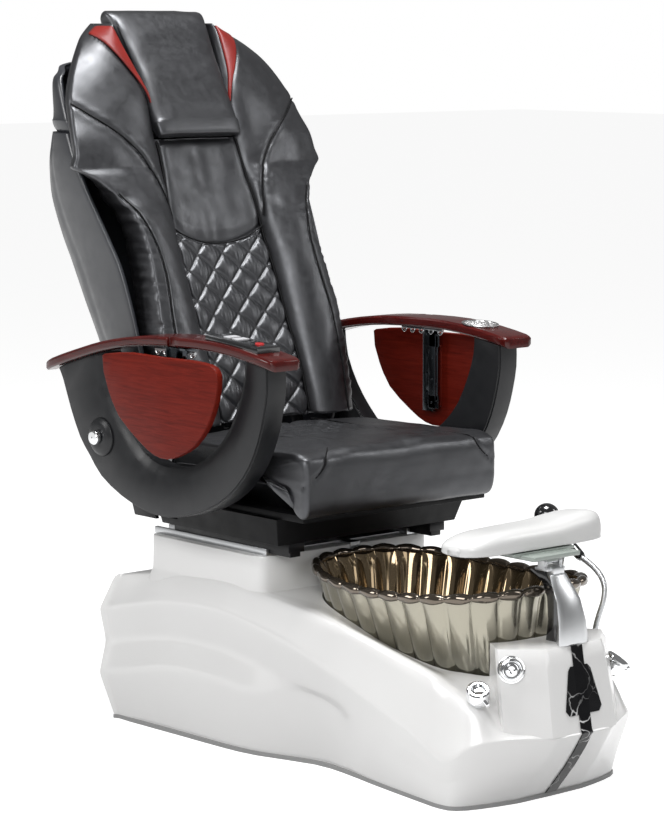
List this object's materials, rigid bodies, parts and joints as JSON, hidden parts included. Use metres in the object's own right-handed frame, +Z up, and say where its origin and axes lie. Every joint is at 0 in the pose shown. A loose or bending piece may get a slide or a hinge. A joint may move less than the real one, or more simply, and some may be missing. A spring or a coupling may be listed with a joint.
{
  "type": "pedicure spa chair",
  "caption": "Pedicure spa chair with a sculpted pearl base, fluted smoked foot bowl, taps, adjustable footrest and a winged black massage armchair with wooden arms.",
  "frame": {"origin": "on the floor, in the plane of symmetry, below the middle of the seat column; the base reaches 632 mm ahead of it and 536 mm behind", "axes": "+Z up; the sitter faces -Y; +X is the sitter's left hand"},
  "size_m": [0.75, 1.3999, 1.4774],
  "materials": {
    "pearl_shell": "pearl gloss",
    "grey_trim": "matte",
    "black_stone": "polished black stone look with pale veins",
    "smoked_bowl": "smoked, fluted",
    "frame_steel": "black powder coat",
    "zinc_frame": "zinc plated",
    "rubber": "matte",
    "chrome": "polished",
    "satin_metal": "satin cast",
    "black_plastic": "satin black",
    "matte_black": "matte black",
    "white_plastic": "matte",
    "pad_vinyl": "ivory padded skin",
    "black_leather": "satin black upholstery",
    "board": "plywood",
    "cherry": "dark cherry gloss",
    "motor_grey": "painted",
    "red_plastic": "gloss",
    "key_grey": "satin",
    "steel_slide": "zinc plated"
  },
  "bodies": {
    "base": {"base_shell": "pearl_shell", "base_skirting": "grey_trim", "marble_inlay": "black_stone", "base_frame": "zinc_frame", "levelling_feet": "rubber", "bowl": "smoked_bowl", "drain_fitting": "chrome", "jet_housing": "white_plastic", "footrest_pillar": "satin_metal", "pillar_insert": "black_plastic", "regulator_plate": "chrome", "mixer_body": "chrome", "diverter_body": "chrome", "shower_holder": "chrome", "hand_shower": "black_plastic", "hose_ferrule": "chrome", "shower_hose": "chrome", "slide_rails": "frame_steel", "slide_motor": "motor_grey"},
    "impeller": {"jet_impeller": "white_plastic"},
    "footrest_lift": {"footrest_head": "satin_metal"},
    "footrest": {"footrest_pad": "pad_vinyl"},
    "regulator": {"regulator_knob": "chrome"},
    "mixer": {"mixer_knob": "chrome"},
    "diverter": {"diverter_lever": "chrome"},
    "seat": {"carriage_frame": "frame_steel", "seat_skirt": "matte_black", "seat_pan": "board", "seat_cushion": "black_leather", "pivot_brackets": "frame_steel", "remote_cable": "rubber", "recline_motor": "motor_grey"},
    "back": {"back_frame": "frame_steel", "back_shell": "black_plastic", "back_shell_cover": "black_plastic", "back_cushion": "black_leather", "wing_pad_r": "black_leather", "wing_pad_l": "black_leather"},
    "pillow": {"head_pillow": "black_leather"},
    "massage": {"massage_carriage": "motor_grey"},
    "rollers": {"massage_rollers": "white_plastic"},
    "arm_r": {"arm_casing_r": "black_plastic", "arm_top_r": "cherry", "pivot_cap_r": "black_plastic", "tray_rail_r": "frame_steel", "remote_housing": "black_plastic"},
    "arm_l": {"arm_casing_l": "black_plastic", "arm_top_l": "cherry", "pivot_cap_l": "black_plastic", "tray_rail_l": "frame_steel", "cup_holder": "chrome"},
    "lock_r": {"lock_knob_r": "chrome"},
    "lock_l": {"lock_knob_l": "chrome"},
    "slide_r": {"tray_slide_r": "steel_slide"},
    "slide_l": {"tray_slide_l": "steel_slide"},
    "tray_r": {"tray_panel_r": "cherry"},
    "tray_l": {"tray_panel_l": "cherry"},
    "power": {"power_button": "red_plastic"},
    "up_key": {"key_up": "key_grey"},
    "down_key": {"key_down": "key_grey"}
  },
  "joints": [
    {"name": "impeller_spin", "type": "hinge", "parent": "base", "child": "impeller", "pos_m": [0, -0.11, 0.236], "axis": [0, 1, 0], "continuous": true},
    {"name": "footrest_height", "type": "slide", "parent": "base", "child": "footrest_lift", "axis": [0, 0, 1], "range_m": [0, 0.06]},
    {"name": "footrest_tilt", "type": "hinge", "parent": "footrest_lift", "child": "footrest", "pos_m": [0, -0.53, 0.454], "axis": [1, 0, 0], "range_deg": [-12, 25]},
    {"name": "regulator_turn", "type": "hinge", "parent": "base", "child": "regulator", "pos_m": [-0.12878, -0.55878, 0.268], "axis": [-0.6557, -0.736, 0.1685], "range_deg": [-120, 120]},
    {"name": "mixer_turn", "type": "hinge", "parent": "base", "child": "mixer", "pos_m": [-0.171, -0.514, 0.203], "axis": [-0.3742, -0.4156, 0.829], "range_deg": [-45, 45]},
    {"name": "diverter_turn", "type": "hinge", "parent": "base", "child": "diverter", "pos_m": [0.171, -0.514, 0.203], "axis": [0.3742, -0.4156, 0.829], "range_deg": [-45, 45]},
    {"name": "seat_travel", "type": "slide", "parent": "base", "child": "seat", "axis": [0, 1, 0], "range_m": [-0.08, 0.08]},
    {"name": "back_recline", "type": "hinge", "parent": "seat", "child": "back", "pos_m": [0, 0.35, 0.53], "axis": [-1, 0, 0], "range_deg": [0, 35]},
    {"name": "pillow_height", "type": "slide", "parent": "back", "child": "pillow", "axis": [0, 0.4626, 0.8866], "range_m": [0, 0.05]},
    {"name": "massage_travel", "type": "slide", "parent": "back", "child": "massage", "axis": [0, 0.3529, 0.9357], "range_m": [-0.06, 0.34]},
    {"name": "roller_spin", "type": "hinge", "parent": "massage", "child": "rollers", "pos_m": [0, 0.46421, 0.76481], "axis": [1, 0, 0], "continuous": true},
    {"name": "arm_lift_r", "type": "hinge", "parent": "seat", "child": "arm_r", "pos_m": [-0.31, 0.43, 0.62], "axis": [-1, 0, 0], "range_deg": [0, 42]},
    {"name": "lock_pull_r", "type": "slide", "parent": "arm_r", "child": "lock_r", "axis": [-1, 0, 0], "range_m": [0, 0.008], "stiffness_N_per_m": 800, "springref_m": -0.002},
    {"name": "tray_lift_r", "type": "slide", "parent": "arm_r", "child": "tray_r", "axis": [0, 0, 1], "range_m": [0, 0.2]},
    {"name": "tray_link_r", "type": "slide", "parent": "arm_r", "child": "slide_r", "axis": [0, 0, 1], "range_m": [0, 0.1]},
    {"name": "arm_lift_l", "type": "hinge", "parent": "seat", "child": "arm_l", "pos_m": [0.31, 0.43, 0.62], "axis": [-1, 0, 0], "range_deg": [0, 42]},
    {"name": "lock_pull_l", "type": "slide", "parent": "arm_l", "child": "lock_l", "axis": [1, 0, 0], "range_m": [0, 0.008], "stiffness_N_per_m": 800, "springref_m": -0.002},
    {"name": "tray_lift_l", "type": "slide", "parent": "arm_l", "child": "tray_l", "axis": [0, 0, 1], "range_m": [0, 0.2]},
    {"name": "tray_link_l", "type": "slide", "parent": "arm_l", "child": "slide_l", "axis": [0, 0, 1], "range_m": [0, 0.1]},
    {"name": "power_press", "type": "slide", "parent": "arm_r", "child": "power", "axis": [0, 0.0872, -0.9962], "range_m": [0, 0.0012], "stiffness_N_per_m": 400, "springref_m": -0.0005},
    {"name": "up_press", "type": "slide", "parent": "arm_r", "child": "up_key", "axis": [0, 0.0872, -0.9962], "range_m": [0, 0.0012], "stiffness_N_per_m": 400, "springref_m": -0.0005},
    {"name": "down_press", "type": "slide", "parent": "arm_r", "child": "down_key", "axis": [0, 0.0872, -0.9962], "range_m": [0, 0.0012], "stiffness_N_per_m": 400, "springref_m": -0.0005}
  ],
  "couplings": [
    {"joint": "tray_link_r", "follows": "tray_lift_r", "ratio": 0.5},
    {"joint": "tray_link_l", "follows": "tray_lift_l", "ratio": 0.5}
  ]
}
